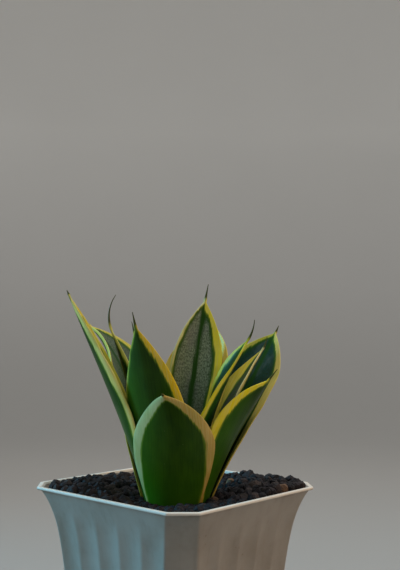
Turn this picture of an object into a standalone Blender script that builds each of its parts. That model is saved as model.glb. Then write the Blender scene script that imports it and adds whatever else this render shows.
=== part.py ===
"""Bird's-nest snake plant in a fluted square plastic pot, modelled at rest in metres, +Z up.

The origin is the middle of the pot's underside. The pot's flat sides face X and Y. The plant
stands a little off the pot's axis, and its leaves are placed by an azimuth counted from FACING,
the direction in which the front leaf leans. Every leaf is a flattened, channelled tube carried
along its own midrib; the leaf bases nest in rings on a stepped stem below the gravel.
"""

import math

import bmesh
import bpy
import numpy as np

# ---------------------------------------------------------------- pot
POT_WIDTH = 0.120  # across the flats at the lip
POT_HEIGHT = 0.105
CORNER_CUT = 0.0115  # leg of the chamfer on each vertical corner
FLARE = 0.0066  # how far the mouth turns out past the straight body
FLARE_REACH = 0.012  # depth over which that flare dies away
DRAFT = 0.092  # inward slope of each side, metre per metre of depth
WALL = 0.0018
FLOOR = 0.0025
LIP_HEIGHT = 0.0016
LIP_STEP = 0.0006  # the lip stands this far proud of the wall below it
LIP_ROUND = 0.0004
FLUTES = 5  # scallops on each side
FLUTE_STEPS = 4  # straight pieces in each scallop
FLUTE_DEPTH = 0.0013
FLUTE_TOP = (0.008, 0.022)  # depths below the lip where the scallops start and are full
FLUTE_FOOT = (0.004, 0.010)  # heights above the base where they end and are full
WALL_LOW = (0.0, 0.004, 0.010, 0.020, 0.045)  # heights at which the wall is drawn
WALL_HIGH = (0.040, 0.028, 0.020, 0.014, 0.009, 0.005)  # and depths below the lip, where it flares
DRAIN_RADIUS = 0.004
DRAIN_CIRCLE = 0.024  # radius of the circle of outer drain holes
DRAIN_COUNT = 4
DRAIN_SIDES = 16

# ---------------------------------------------------------------- gravel
GAP = 0.0003  # clearance kept between pieces that touch
WALL_PLAY = 0.0007  # between the gravel and the pot's wall
GRAVEL_DEPTH = 0.0050  # below the lip, along the line from back to front
GRAVEL_BANK = 0.0035  # rise towards the left and right corners
GRAVEL_BANK_REACH = (0.020, 0.050)
GRAVEL_HOLLOW = 0.0035  # dip round the plant
GRAVEL_HOLLOW_REACH = (0.020, 0.050)
GRAVEL_TILT = 0.012  # rise to the right, metre per metre
GRAIN_RELIEF = 0.0013  # bumps either side of the mean level
GRAVEL_RINGS = 13
GRAVEL_SEED = 7
EDGE_CALM = 0.25  # share of the relief left at the wall and at the crater's mouth

# ---------------------------------------------------------------- plant
FACING = 42.0  # degrees from -Y towards +X
PLANT_OUT = 0.010  # how far the rosette stands from the pot's axis, towards FACING
BURIED = 0.009  # leaf length below the gravel's mean level
LEAF_THICK = 0.0018  # at the base, along the midrib
LEAF_BELLY = 0.0026  # where the blade is fleshiest
LEAF_PLAY = 0.0004  # between one ring of leaf bases and the next
RING_STEP = LEAF_THICK + LEAF_PLAY
RING_INNER = 0.0053  # mid-thickness radius of the innermost ring of leaf bases
RING_COUNT = 6
RING_OUTER = RING_INNER + (RING_COUNT - 1) * RING_STEP
CRATER_RADIUS = RING_OUTER + 2 * LEAF_BELLY  # mouth of the gravel's hole round the leaf bases
SHELF_RADIUS = RING_OUTER + LEAF_THICK + GAP  # floor of that hole
BASE_LEAN = 20.0  # degrees that the most tilted leaf base leans
SPIKE_RADIUS = 0.00055
SPIKE_END = 0.00018
RISE = 1.6  # how the width grows up to the widest station
TAPER = 1.9  # how it falls from there to the tip
OPENING = (0.0, 0.55)  # shares of the length between which the channel opens from wrap to fold,
FATTENING = (0.1, 0.4)  # the blade grows to its full thickness,
THINNING = (0.55, 1.0)  # and it thins again
TIP_THINNING = 0.55  # share of the thickness lost between the middle and the tip
STUBBY = 0.9  # the most thickness for its half width that a section may have
EDGE_ROUNDING = 0.75  # 1 gives elliptical edges, less gives blunter ones
LEAF_SIDES = 14  # points round a cross-section
LEAF_STATIONS = 13
STATION_SPREAD = 0.85  # under 1 crowds the stations towards the tip
SPIKE_STATIONS = 4
PATH_STEPS = 400

# ---------------------------------------------------------------- rhizome
RHIZOME_LENGTH = 0.022
RHIZOME_FOOT = 0.004
RHIZOME_STEPS = 6
RHIZOME_SIDES = 28
RING_START = 1.25 * math.pi  # angle of a circle's first point, at the pot's front left corner

MATERIALS = {
    "pot_plastic": ((0.72, 0.72, 0.69, 1.0), 0.45),
    "gravel": ((0.025, 0.022, 0.026, 1.0), 0.9),
    "leaf": ((0.07, 0.16, 0.03, 1.0), 0.4),
    "rhizome": ((0.55, 0.42, 0.25, 1.0), 0.8),
}


def clear_scene():
    for obj in list(bpy.data.objects):
        bpy.data.objects.remove(obj, do_unlink=True)


def material(name):
    found = bpy.data.materials.get(name)
    if found:
        return found
    colour, roughness = MATERIALS[name]
    made = bpy.data.materials.new(name)
    made.use_nodes = True
    shader = made.node_tree.nodes["Principled BSDF"]
    shader.inputs["Base Color"].default_value = colour
    shader.inputs["Roughness"].default_value = roughness
    shader.inputs["Metallic"].default_value = 0.0
    return made


def smoothstep(x, start, end):
    t = np.clip((x - start) / (end - start), 0.0, 1.0)
    return t * t * (3 - 2 * t)


def mesh_object(name, rings, material_name, sharp_deg):
    """A closed solid from a list of rings of points, each bridged to the next, with both ends capped."""
    bm = bmesh.new()
    loops = []
    for ring in rings:
        loops.append([bm.verts.new(p) for p in ring])
    count = len(loops[0])
    for a, b in zip(loops, loops[1:]):
        for i in range(count):
            j = (i + 1) % count
            bm.faces.new((a[i], a[j], b[j], b[i]))
    bm.faces.new(reversed(loops[0]))
    bm.faces.new(loops[-1])
    mesh = bpy.data.meshes.new(name)
    bm.to_mesh(mesh)
    bm.free()
    mesh.materials.append(material(material_name))
    mesh.shade_smooth()
    mesh.set_sharp_from_angle(angle=math.radians(sharp_deg))
    obj = bpy.data.objects.new(name, mesh)
    bpy.context.scene.collection.objects.link(obj)
    return obj


# ---------------------------------------------------------------- pot
def body_half(z):
    """Half the width across the flats of the wall's outer face at height z."""
    depth = POT_HEIGHT - z
    return POT_WIDTH / 2 - LIP_STEP - FLARE * (1 - math.exp(-depth / FLARE_REACH)) - DRAFT * depth


def flute_depth(z):
    depth = POT_HEIGHT - z
    return FLUTE_DEPTH * smoothstep(depth, *FLUTE_TOP) * smoothstep(z, *FLUTE_FOOT)


def outline(half, scallop, z, inset=0.0):
    """The pot's plan at one height: four scalloped sides joined by straight corner cuts.

    inset moves every side in by that much, square to itself, so the wall keeps its thickness.
    """
    half = half - inset
    cut = CORNER_CUT - inset * (2 - math.sqrt(2))
    reach = half - cut
    steps = FLUTES * FLUTE_STEPS
    along = np.linspace(-reach, reach, steps + 1)
    share = np.linspace(0.0, FLUTES, steps + 1) % 1.0
    away = half - scallop * np.sin(math.pi * share)
    points = []
    for turn in range(4):
        c, s = math.cos(turn * math.pi / 2), math.sin(turn * math.pi / 2)
        for x, y in zip(along, -away):
            points.append((c * x - s * y, s * x + c * y, z))
    return points


def wall_heights():
    """Heights at which the wall is drawn, from the base up."""
    return list(WALL_LOW) + [POT_HEIGHT - depth for depth in WALL_HIGH]


def make_pot():
    top = POT_HEIGHT
    lip_half = POT_WIDTH / 2
    under_lip = top - LIP_HEIGHT
    heights = wall_heights()
    outer = [outline(body_half(z), flute_depth(z), z) for z in heights]
    outer.append(outline(body_half(under_lip), 0.0, under_lip))
    outer.append(outline(lip_half, 0.0, under_lip + LIP_ROUND))
    outer.append(outline(lip_half, 0.0, top - LIP_ROUND))
    outer.append(outline(lip_half - LIP_ROUND, 0.0, top))
    inner_heights = [top] + [z for z in reversed(heights) if z > FLOOR] + [FLOOR]
    inner = [outline(body_half(z), flute_depth(z), z, WALL) for z in inner_heights]
    pot = mesh_object("pot", outer + inner, "pot_plastic", 30)
    for index in range(DRAIN_COUNT + 1):
        radius = DRAIN_CIRCLE if index else 0.0
        angle = math.pi / 4 + 2 * math.pi * index / DRAIN_COUNT
        drill = drain_drill(f"drain_drill_{index}", radius * math.cos(angle), radius * math.sin(angle))
        cut = pot.modifiers.new(f"drain_{index}", "BOOLEAN")
        cut.operation = "DIFFERENCE"
        cut.object = drill
    return pot


def drain_drill(name, x, y):
    bm = bmesh.new()
    bmesh.ops.create_cone(
        bm, cap_ends=True, segments=DRAIN_SIDES, radius1=DRAIN_RADIUS, radius2=DRAIN_RADIUS, depth=4 * FLOOR
    )
    mesh = bpy.data.meshes.new(name)
    bm.to_mesh(mesh)
    bm.free()
    drill = bpy.data.objects.new(name, mesh)
    drill.location = (x, y, FLOOR / 2)
    drill.hide_render = True
    drill.display_type = "WIRE"
    bpy.context.scene.collection.objects.link(drill)
    return drill


# ---------------------------------------------------------------- leaves
def direction(azimuth_deg):
    """Horizontal unit vector at an azimuth counted from FACING, positive anticlockwise from above."""
    angle = math.radians(FACING + azimuth_deg)
    return np.array([math.sin(angle), -math.cos(angle), 0.0])


GROUND = POT_HEIGHT - GRAVEL_DEPTH - GRAVEL_HOLLOW
UP = np.array([0.0, 0.0, 1.0])


def ring_radius(ring):
    return RING_OUTER - ring * RING_STEP


def leaf(name, ring, azimuth, length, half_width, leans, wrap=52, fold=38, widest=0.55, taper=TAPER, side=0,
         roll=0, spike=0.008, spike_lean=0):
    """One leaf. Angles are in degrees: leans are those from the vertical at the gravel, halfway and at
    the tip; wrap and fold are the half angles of the channel at the base and in the blade; side turns
    the heading and roll the blade about its midrib, both from base to tip."""
    total = length + spike
    blade = np.linspace(0.0, 1.0, LEAF_STATIONS) ** STATION_SPREAD * length
    prong = length + spike * np.linspace(0.0, 1.0, SPIKE_STATIONS + 1)[1:]
    stations = np.concatenate([blade, prong])
    fine = np.linspace(0.0, total, PATH_STEPS)
    grown = np.clip((fine - BURIED) / (length - BURIED), 0.0, 1.0)
    out_of_tip = np.clip((fine - length) / spike, 0.0, 1.0)
    low, middle, high = leans
    theta = low * (1 - grown) * (1 - 2 * grown) + 4 * middle * grown * (1 - grown)
    theta = np.radians(theta + high * grown * (2 * grown - 1) + spike_lean * out_of_tip)
    heading = np.radians(FACING + azimuth + side * grown**2)
    level = np.stack([np.sin(heading), -np.cos(heading), np.zeros_like(heading)], axis=1)
    along = np.sin(theta)[:, None] * level + np.cos(theta)[:, None] * UP
    across = np.cross(UP, level)
    outward = np.cross(across, along)
    turn = np.radians(roll * grown)[:, None]
    across, outward = (
        across * np.cos(turn) + outward * np.sin(turn),
        outward * np.cos(turn) - across * np.sin(turn),
    )
    plant = direction(0) * PLANT_OUT
    root = plant + UP * (GROUND - BURIED) + direction(azimuth) * ring_radius(ring)
    steps = np.diff(fine)[:, None] * (along[1:] + along[:-1]) / 2
    path = root + np.concatenate([np.zeros((1, 3)), np.cumsum(steps, axis=0)])

    share = np.clip(fine / length, 0.0, 1.0)
    base_half = ring_radius(ring) * math.radians(wrap)
    rising = np.sin(np.clip(share / widest, 0, 1) * math.pi / 2) ** RISE
    tapering = 1 - np.clip((share - widest) / (1 - widest), 0, 1) ** taper
    half = np.where(share < widest, base_half + (half_width - base_half) * rising, half_width * tapering)
    needle = SPIKE_RADIUS + (SPIKE_END - SPIKE_RADIUS) * out_of_tip
    half = np.maximum(half, needle)
    bend = np.radians(wrap + (fold - wrap) * smoothstep(share, *OPENING))
    fleshy = LEAF_THICK + (LEAF_BELLY - LEAF_THICK) * smoothstep(share, *FATTENING)
    thick = fleshy * (1 - TIP_THINNING * smoothstep(share, *THINNING))
    thick = np.where(fine > length, 2 * needle, np.minimum(thick, np.maximum(STUBBY * half, 2 * needle)))

    rings = []
    around = np.linspace(0.0, -2 * math.pi, LEAF_SIDES, endpoint=False)
    over = np.cos(around)
    through = np.sign(np.sin(around)) * np.abs(np.sin(around)) ** EDGE_ROUNDING
    for s in stations:
        at = [np.interp(s, fine, path[:, k]) for k in range(3)]
        b = np.array([np.interp(s, fine, across[:, k]) for k in range(3)])
        n = np.array([np.interp(s, fine, outward[:, k]) for k in range(3)])
        w, a, t = (np.interp(s, fine, values) for values in (half, bend, thick))
        radius = w / a
        angle = over * a
        centre = at + np.outer(radius * np.sin(angle), b) - np.outer(radius * (1 - np.cos(angle)), n)
        normal = np.outer(np.cos(angle), n) + np.outer(np.sin(angle), b)
        rings.append(centre + normal * (through * t / 2)[:, None])
    return mesh_object(name, rings, "leaf", 60)


def make_leaves():
    leaf("leaf_front", 0, -5, 0.079, 0.0232, (10, 18, 60), fold=32, widest=0.55, taper=1.55, side=-13,
         spike=0.002)
    leaf("leaf_right_rear", 0, 123, 0.116, 0.0228, (19, 29, 27), wrap=44, widest=0.70, side=-10, roll=-30,
         spike=0.005)
    leaf("leaf_left_rear", 0, -136, 0.118, 0.0230, (20, 20, 48), wrap=38, widest=0.72, side=50, roll=6,
         spike_lean=40)
    leaf("leaf_left", 1, -82, 0.1315, 0.0145, (12, 23, 25), wrap=18, fold=54, widest=0.45, roll=10,
         spike=0.003)
    leaf("leaf_right_front", 1, 79, 0.086, 0.0205, (16, 26, 38), wrap=28, roll=24, widest=0.60)
    leaf("leaf_left_front", 2, -30, 0.109, 0.0185, (7, 17, 18), wrap=40, fold=28, widest=0.50, side=-14,
         roll=-18)
    leaf("leaf_right", 2, 112, 0.103, 0.0185, (9, 26, 33), wrap=44, spike_lean=-25, side=-10)
    leaf("leaf_left_hidden", 2, -146, 0.108, 0.0140, (10, 20, 24), wrap=38, side=6)
    leaf("leaf_left_inner", 3, -84, 0.108, 0.0140, (8, 16, 21), wrap=28, spike=0.020, spike_lean=-55)
    leaf("leaf_right_inner", 3, 60, 0.105, 0.0145, (5, 19, 33), wrap=24, widest=0.60, roll=-34, side=16,
         spike=0.012, spike_lean=-30)
    leaf("leaf_back", 4, 152, 0.116, 0.0225, (10, 18, 20), wrap=28, widest=0.70, spike=0.002)
    leaf("leaf_back_inner", 5, 153, 0.124, 0.0158, (7, 11, 12), wrap=34, widest=0.70, side=-28,
         roll=-75, spike=0.010)


# ---------------------------------------------------------------- rhizome and gravel
def circle(radius, z, count, centre):
    angles = np.linspace(0.0, 2 * math.pi, count, endpoint=False) + RING_START
    return [(centre[0] + radius * math.cos(t), centre[1] + radius * math.sin(t), z) for t in angles]


def rhizome_profile():
    """Radius and height down the stem, from the disc that carries the leaf bases to its round foot."""
    top = GROUND - BURIED - GAP - LEAF_THICK / 2 * math.sin(math.radians(BASE_LEAN))
    crown = RING_OUTER + LEAF_THICK / 2
    turns = np.linspace(0.0, math.pi / 2, RHIZOME_STEPS)
    radii = RHIZOME_FOOT + (crown - RHIZOME_FOOT) * np.cos(turns)
    return [(r, top - RHIZOME_LENGTH * math.sin(t)) for r, t in zip(radii, turns)]


def make_rhizome():
    plant = direction(0) * PLANT_OUT
    rings = [circle(r, z, RHIZOME_SIDES, plant) for r, z in reversed(rhizome_profile())]
    mesh_object("rhizome", rings, "rhizome", 30)


def gravel_level(x, y):
    """Height of the gravel: low along the line from back to front, hollowed round the plant, banked
    up towards the left and right corners."""
    plant = direction(0) * PLANT_OUT
    right = direction(90)
    aside = x * right[0] + y * right[1]
    from_plant = np.hypot(x - plant[0], y - plant[1])
    bank = GRAVEL_BANK * smoothstep(np.abs(aside), *GRAVEL_BANK_REACH)
    hollow = GRAVEL_HOLLOW * (1 - smoothstep(from_plant, *GRAVEL_HOLLOW_REACH))
    return POT_HEIGHT - GRAVEL_DEPTH + bank - hollow + GRAVEL_TILT * aside


def make_gravel():
    plant = direction(0) * PLANT_OUT
    count = 4 * (FLUTES * FLUTE_STEPS + 1)
    rings = [circle(r + GAP, z - GAP, count, plant) for r, z in reversed(rhizome_profile())]
    rings.append(circle(SHELF_RADIUS, GROUND - BURIED - 2 * GAP, count, plant))
    mouth = np.array(circle(CRATER_RADIUS, 0.0, count, plant))
    low = POT_HEIGHT - GRAVEL_DEPTH - GRAIN_RELIEF - GRAVEL_TILT * POT_WIDTH
    wall = np.array(outline(body_half(low), 0.0, 0.0, WALL + WALL_PLAY))
    rng = np.random.default_rng(GRAVEL_SEED)
    for share in np.linspace(0.0, 1.0, GRAVEL_RINGS):
        ring = mouth + (wall - mouth) * share
        bumps = rng.uniform(-GRAIN_RELIEF, GRAIN_RELIEF, count)
        if share in (0.0, 1.0):
            bumps *= EDGE_CALM
        ring[:, 2] = gravel_level(ring[:, 0], ring[:, 1]) + bumps
        rings.append(ring)
    rings[-1][:, 2] = np.minimum(rings[-1][:, 2], POT_HEIGHT - LIP_HEIGHT)
    below = [z for z in reversed(wall_heights()) if FLOOR + GAP < z < low]
    for z in [low] + below + [FLOOR + GAP]:
        rings.append(outline(body_half(z), flute_depth(z), z, WALL + WALL_PLAY))
    mesh_object("gravel", rings[::-1], "gravel", 20)


def main():
    clear_scene()
    make_pot()
    make_gravel()
    make_rhizome()
    make_leaves()


main()
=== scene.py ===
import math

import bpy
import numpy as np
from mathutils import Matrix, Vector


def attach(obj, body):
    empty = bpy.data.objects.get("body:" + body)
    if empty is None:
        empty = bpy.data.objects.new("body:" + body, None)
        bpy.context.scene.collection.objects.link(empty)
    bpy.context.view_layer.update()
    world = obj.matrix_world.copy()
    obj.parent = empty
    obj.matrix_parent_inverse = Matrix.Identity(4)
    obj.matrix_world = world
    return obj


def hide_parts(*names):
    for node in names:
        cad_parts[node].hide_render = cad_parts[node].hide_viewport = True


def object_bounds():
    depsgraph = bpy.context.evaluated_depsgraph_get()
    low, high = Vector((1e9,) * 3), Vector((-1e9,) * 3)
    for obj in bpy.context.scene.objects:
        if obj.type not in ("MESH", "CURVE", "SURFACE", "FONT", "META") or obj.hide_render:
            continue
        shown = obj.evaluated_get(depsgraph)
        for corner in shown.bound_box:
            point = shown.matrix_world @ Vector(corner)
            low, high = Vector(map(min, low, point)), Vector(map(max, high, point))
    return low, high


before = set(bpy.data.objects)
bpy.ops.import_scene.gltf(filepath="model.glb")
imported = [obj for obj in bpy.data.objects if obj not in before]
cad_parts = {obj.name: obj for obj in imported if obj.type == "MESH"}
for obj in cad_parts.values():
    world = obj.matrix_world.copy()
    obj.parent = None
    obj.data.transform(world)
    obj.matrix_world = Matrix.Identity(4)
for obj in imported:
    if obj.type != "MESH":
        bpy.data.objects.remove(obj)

# %% [markdown]
# # A bird's-nest snake plant in a fluted square pot
#
# This lesson dresses a plain solid model of a small potted plant. The solid model is loaded above
# as a fixed frame. It holds the true sizes, and every piece made here takes the same place as the
# solid that it stands for.
#
# The plant is a dwarf snake plant. Its leaves are thick, waxy and channelled, dark green in the
# heart with broad yellow margins, and most of them end in a dark spine. They grow as an open
# rosette from black volcanic grit in an off-white moulded pot.
#
# We make the pieces from the outside in: pot, grit, leaves. Then come the floor, the lights and
# the camera.

CAD_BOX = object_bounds()
CAD_SIZE_MM = [round(1000 * (high - low), 1) for low, high in zip(*CAD_BOX)]
print("solid model, mm:", CAD_SIZE_MM)

# %% [markdown]
# ## Small helpers
#
# Every shape below is a stack of rings: one closed loop of points after another, with the same
# number of points in each. A pot is a stack of square loops, and a leaf is a stack of flattened
# loops carried along a curve. So one function can turn any stack into a closed mesh.

# %% From a stack of rings to a mesh
def smoothstep(x, start, end):
    """0 before start, 1 after end, and 3t^2 - 2t^3 in between, where t runs from 0 to 1."""
    t = np.clip((x - start) / (end - start), 0.0, 1.0)
    return t * t * (3 - 2 * t)


def link(name, mesh):
    piece = bpy.data.objects.new(name, mesh)
    bpy.context.scene.collection.objects.link(piece)
    return piece


def ring_faces(rings, around):
    """Quads between ring r and ring r+1: corners (r, a), (r, a+1), (r+1, a+1), (r+1, a), where
    a+1 wraps round to 0."""
    r, a = np.meshgrid(np.arange(rings - 1), np.arange(around), indexing="ij")
    b = (a + 1) % around
    low, high = r * around, (r + 1) * around
    return np.stack([low + a, low + b, high + b, high + a], axis=-1)


def mesh_from_rings(name, rings, sharp_deg=180.0):
    """A closed skin over an array of shape (rings, around, 3), with a flat cap on each end."""
    count, around, _ = rings.shape
    quads = ring_faces(count, around).reshape(-1, 4).tolist()
    caps = [list(range(around))[::-1], list(range((count - 1) * around, count * around))]
    mesh = bpy.data.meshes.new(name)
    mesh.from_pydata(rings.reshape(-1, 3), [], quads + caps)
    mesh.shade_smooth()
    if sharp_deg < 180.0:
        mesh.set_sharp_from_angle(angle=math.radians(sharp_deg))
    return link(name, mesh)


def give_attribute(piece, name, kind, values):
    """Stores one value per vertex, which a material can read by its name."""
    layer = piece.data.attributes.new(name, kind, "POINT")
    field = {"FLOAT": "value", "FLOAT_VECTOR": "vector", "FLOAT_COLOR": "color"}[kind]
    layer.data.foreach_set(field, np.ascontiguousarray(values, dtype=np.float32).ravel())


def report(piece):
    faces = len(piece.data.polygons)
    size = np.array(piece.dimensions) * 1000
    print(f"{piece.name}: {faces} faces, {size[0]:.1f} x {size[1]:.1f} x {size[2]:.1f} mm")


# %% [markdown]
# Colours are picked as sRGB hex values, because that is how paint charts and screens give them.
# Blender's shaders work in linear light, so one function converts them. The others each add a
# node or two, and every material is built with them.

# %% Colours and nodes
def linear(hex_colour):
    """sRGB hex to linear RGBA: c/12.92 in the darkest part, ((c + 0.055)/1.055)^2.4 above it."""
    srgb = np.array([int(hex_colour[i : i + 2], 16) for i in (1, 3, 5)]) / 255.0
    rgb = np.where(srgb <= 0.04045, srgb / 12.92, ((srgb + 0.055) / 1.055) ** 2.4)
    return (*rgb.tolist(), 1.0)


def feed(tree, socket, value):
    """Links another node's output to the socket, or writes a plain value on it."""
    if isinstance(value, bpy.types.NodeSocket):
        tree.links.new(value, socket)
    else:
        socket.default_value = value


def add(tree, kind, inputs=None, **settings):
    """One node. inputs maps a socket's name or number to a value, or to another node's output."""
    made = tree.nodes.new("ShaderNode" + kind)
    for key, value in settings.items():
        setattr(made, key, value)
    for key, value in (inputs or {}).items():
        feed(tree, made.inputs[key], value)
    return made


def ramp(tree, factor, *stops):
    """A colour ramp through (position, colour) stops."""
    made = add(tree, "ValToRGB", {"Fac": factor})
    elements = made.color_ramp.elements
    while len(elements) < len(stops):
        elements.new(0.5)
    for element, (position, colour) in zip(elements, stops):
        element.position = position
        element.color = colour
    return made.outputs["Color"]


def blend(tree, factor, a, b):
    """Colour a where factor is 0, colour b where it is 1. Sockets 6 and 7, and output 2, are the
    mix node's colour ones."""
    return add(tree, "Mix", {0: factor, 6: a, 7: b}, data_type="RGBA").outputs[2]


def step(tree, value, low, high):
    """0 below low and 1 above high, smooth between them."""
    made = add(tree, "MapRange", {"Value": value, "From Min": low, "From Max": high})
    made.interpolation_type = "SMOOTHSTEP"
    return made.outputs["Result"]


def maths(tree, operation, *values):
    """One operation on values; each may be a socket or a number."""
    return add(tree, "Math", dict(enumerate(values)), operation=operation).outputs[0]


def times(tree, a, b):
    return maths(tree, "MULTIPLY", a, b)


def between(tree, value, low, high):
    """A 0 to 1 value stretched to run from low to high."""
    return add(tree, "MapRange", {"Value": value, "To Min": low, "To Max": high}).outputs[0]


def noise(tree, place, feature, detail=2.0, roughness=0.5):
    """Noise whose features are about so many of the place's units across."""
    made = add(tree, "TexNoise", {"Vector": place, "Scale": 1 / feature, "Detail": detail})
    made.inputs["Roughness"].default_value = roughness
    return made.outputs["Fac"]


def stretched(tree, place, *features):
    """The place divided by a feature size along each axis, for a noise with features of size 1."""
    scales = tuple(1 / feature for feature in features)
    return add(tree, "Mapping", {"Vector": place, "Scale": scales}).outputs[0]


def bump(tree, height, strength, distance, under=None):
    """A bump of a height in metres, laid over another one."""
    made = add(tree, "Bump", {"Height": height, "Strength": strength, "Distance": distance})
    if under is not None:
        tree.links.new(under, made.inputs["Normal"])
    return made.outputs[0]


def new_material(name, roughness, ior, **sockets):
    """A material with a Principled shader whose uniform values sit on its own sockets."""
    made = bpy.data.materials.new(name)
    made.use_nodes = True
    shader = made.node_tree.nodes["Principled BSDF"]
    shader.inputs["Roughness"].default_value = roughness
    shader.inputs["IOR"].default_value = ior
    for key, value in sockets.items():
        shader.inputs[key.replace("_", " ")].default_value = value
    return made, made.node_tree, shader


def wear(piece, material):
    """Puts the material on the piece and tells the frame where it rides."""
    piece.data.materials.clear()
    piece.data.materials.append(material)
    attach(piece, "root")
    report(piece)


# %% [markdown]
# ## The pot
#
# The pot is injection moulded in off-white polypropylene. Its plan is a square with the corners
# cut off. Each side has five shallow concave flutes that start below the lip and die out above
# the foot, and the mouth flares out like a trumpet. The moulding has a small radius on every edge.
#
# The flare and the flutes vary with height by simple rules. So the rings are worked out: each one
# is the plan at a height, and the outside goes up, over the lip, and down the inside again as one
# continuous skin.

# %% Pot sizes, in metres
POT_WIDTH = 0.120  # across the flats at the lip
POT_HEIGHT = 0.105
CORNER_CUT = 0.0115
CORNER_RADIUS = 0.0022  # the moulded radius where a side meets a corner cut
FLARE = 0.0066  # how far the mouth spreads, over the depth FLARE_REACH
FLARE_REACH = 0.012
DRAFT = 0.092  # how much each side comes in for each metre down
WALL = 0.0018
FLOOR = 0.0025
LIP_HEIGHT = 0.0016
LIP_STEP = 0.0006  # how far the lip stands proud of the wall
LIP_ROUND = 0.0005
FOOT_ROUND = 0.0009
FLUTES = 5
FLUTE_STEPS = 16
FLUTE_DEPTH = 0.0013
FLUTE_TOP = (0.008, 0.022)  # depths under the lip where the flutes begin and are full
FLUTE_FOOT = (0.004, 0.010)  # heights above the base where they end and are full


def body_half(z):
    """Half the width of the wall: it shrinks by an exponential near the lip and steadily below."""
    depth = POT_HEIGHT - z
    return POT_WIDTH / 2 - LIP_STEP - FLARE * (1 - np.exp(-depth / FLARE_REACH)) - DRAFT * depth


def flute_depth(z):
    depth = POT_HEIGHT - z
    return FLUTE_DEPTH * smoothstep(depth, *FLUTE_TOP) * smoothstep(z, *FLUTE_FOOT)


def plan(half, scallop, z, inset=0.0):
    """One closed loop at height z. Each side is half - scallop*|sin| with one arch for each flute.
    A side meets its corner cut in an arc of CORNER_RADIUS, which turns by 45 degrees."""
    half = half - inset
    cut = CORNER_CUT - inset * (2 - math.sqrt(2))
    reach = half - cut
    tangent = CORNER_RADIUS * math.tan(math.pi / 8)
    along = np.linspace(-reach + tangent, reach - tangent, FLUTES * FLUTE_STEPS + 1)
    away = half - scallop * np.abs(np.sin(math.pi * FLUTES * (along + reach) / (2 * reach)))
    turn = np.linspace(0.0, math.pi / 4, 6)[1:]
    arc_x = reach - tangent + CORNER_RADIUS * np.sin(turn)
    arc_y = half - CORNER_RADIUS * (1 - np.cos(turn))
    fall = np.interp(along[-1], along, away) - half
    side_x = np.concatenate([-arc_x[::-1], along, arc_x])
    side_y = -np.concatenate([arc_y[::-1] + fall, away, arc_y + fall])
    loops = []
    for quarter in range(4):
        c, s = math.cos(quarter * math.pi / 2), math.sin(quarter * math.pi / 2)
        loops.append(np.stack([c * side_x - s * side_y, s * side_x + c * side_y], axis=1))
    loop = np.concatenate(loops)
    return np.column_stack([loop, np.full(len(loop), z)])


# %% [markdown]
# The heights are close together where the wall bends fast, at the flare and at the ends of the
# flutes. The lip is a flat band that stands a little proud of the wall, with a radius above and
# below.

# %% Pot skin
def rounded(radius, steps, start, end):
    """Points on a quarter circle: the height, radius*(1 - cos t), and the way in, radius*(1 - sin t)."""
    t = np.linspace(start, end, steps)
    return radius * (1 - np.cos(t)), radius * (1 - np.sin(t))


def pot_rings():
    under_lip = POT_HEIGHT - LIP_HEIGHT
    spans = ((FOOT_ROUND, 0.014, 9), (0.018, 0.080, 16), (0.082, under_lip, 26))
    heights = np.concatenate([np.linspace(*span) for span in spans])
    rings = []
    lift, inset = rounded(FOOT_ROUND, 6, 0.0, math.pi / 2)
    for up, side in zip(lift[:-1], inset[:-1]):
        rings.append(plan(body_half(up), flute_depth(up), up, side))
    rings += [plan(body_half(z), flute_depth(z), z) for z in heights]
    half = POT_WIDTH / 2
    lift, inset = rounded(LIP_ROUND, 5, 0.0, math.pi / 2)
    rings += [plan(half, 0.0, under_lip + up, side) for up, side in zip(lift, inset)]
    rings += [plan(half, 0.0, POT_HEIGHT - up, side) for up, side in zip(lift[::-1], inset[::-1])]
    inner = body_half(POT_HEIGHT)
    rings += [plan(inner, 0.0, POT_HEIGHT - up, WALL - side) for up, side in zip(lift, inset)]
    falling = heights[::-1][1:]
    rings += [plan(body_half(z), flute_depth(z), z, WALL) for z in falling if z > FLOOR]
    rings.append(plan(body_half(FLOOR), 0.0, FLOOR, WALL))
    return np.array(rings)


pot = mesh_from_rings("moulded_pot", pot_rings(), 40)
print("pot rings:", pot_rings().shape[:2])

# %% [markdown]
# Five drain holes go through the base. They can't be part of the rings, so they are cut with a
# Boolean modifier. The cut is then written into the mesh and the drills are thrown away.

# %% Drain holes
DRAIN_RADIUS = 0.004
DRAIN_CIRCLE = 0.024


def drill(x, y):
    """A round rod, straight through the base: a circle of 40 points at two heights."""
    turn = np.linspace(0.0, 2 * math.pi, 40, endpoint=False)
    circle = DRAIN_RADIUS * np.stack([np.cos(turn), np.sin(turn), 0 * turn], axis=1) + (x, y, 0)
    rings = np.array([circle - (0, 0, FLOOR), circle + (0, 0, 2 * FLOOR)])
    return mesh_from_rings("drill", rings)


def cut_through(piece, drills):
    for rod in drills:
        cut = piece.modifiers.new("drain", "BOOLEAN")
        cut.operation = "DIFFERENCE"
        cut.object = rod
    evaluated = piece.evaluated_get(bpy.context.evaluated_depsgraph_get())
    cut_mesh = bpy.data.meshes.new_from_object(evaluated)
    piece.modifiers.clear()
    piece.data = cut_mesh
    for rod in drills:
        bpy.data.objects.remove(rod, do_unlink=True)


spots = [(0.0, 0.0)]
for quarter in range(4):
    angle = math.pi / 4 + quarter * math.pi / 2
    spots.append((DRAIN_CIRCLE * math.cos(angle), DRAIN_CIRCLE * math.sin(angle)))
cut_through(pot, [drill(x, y) for x, y in spots])
print("drain holes:", len(spots))
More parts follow.
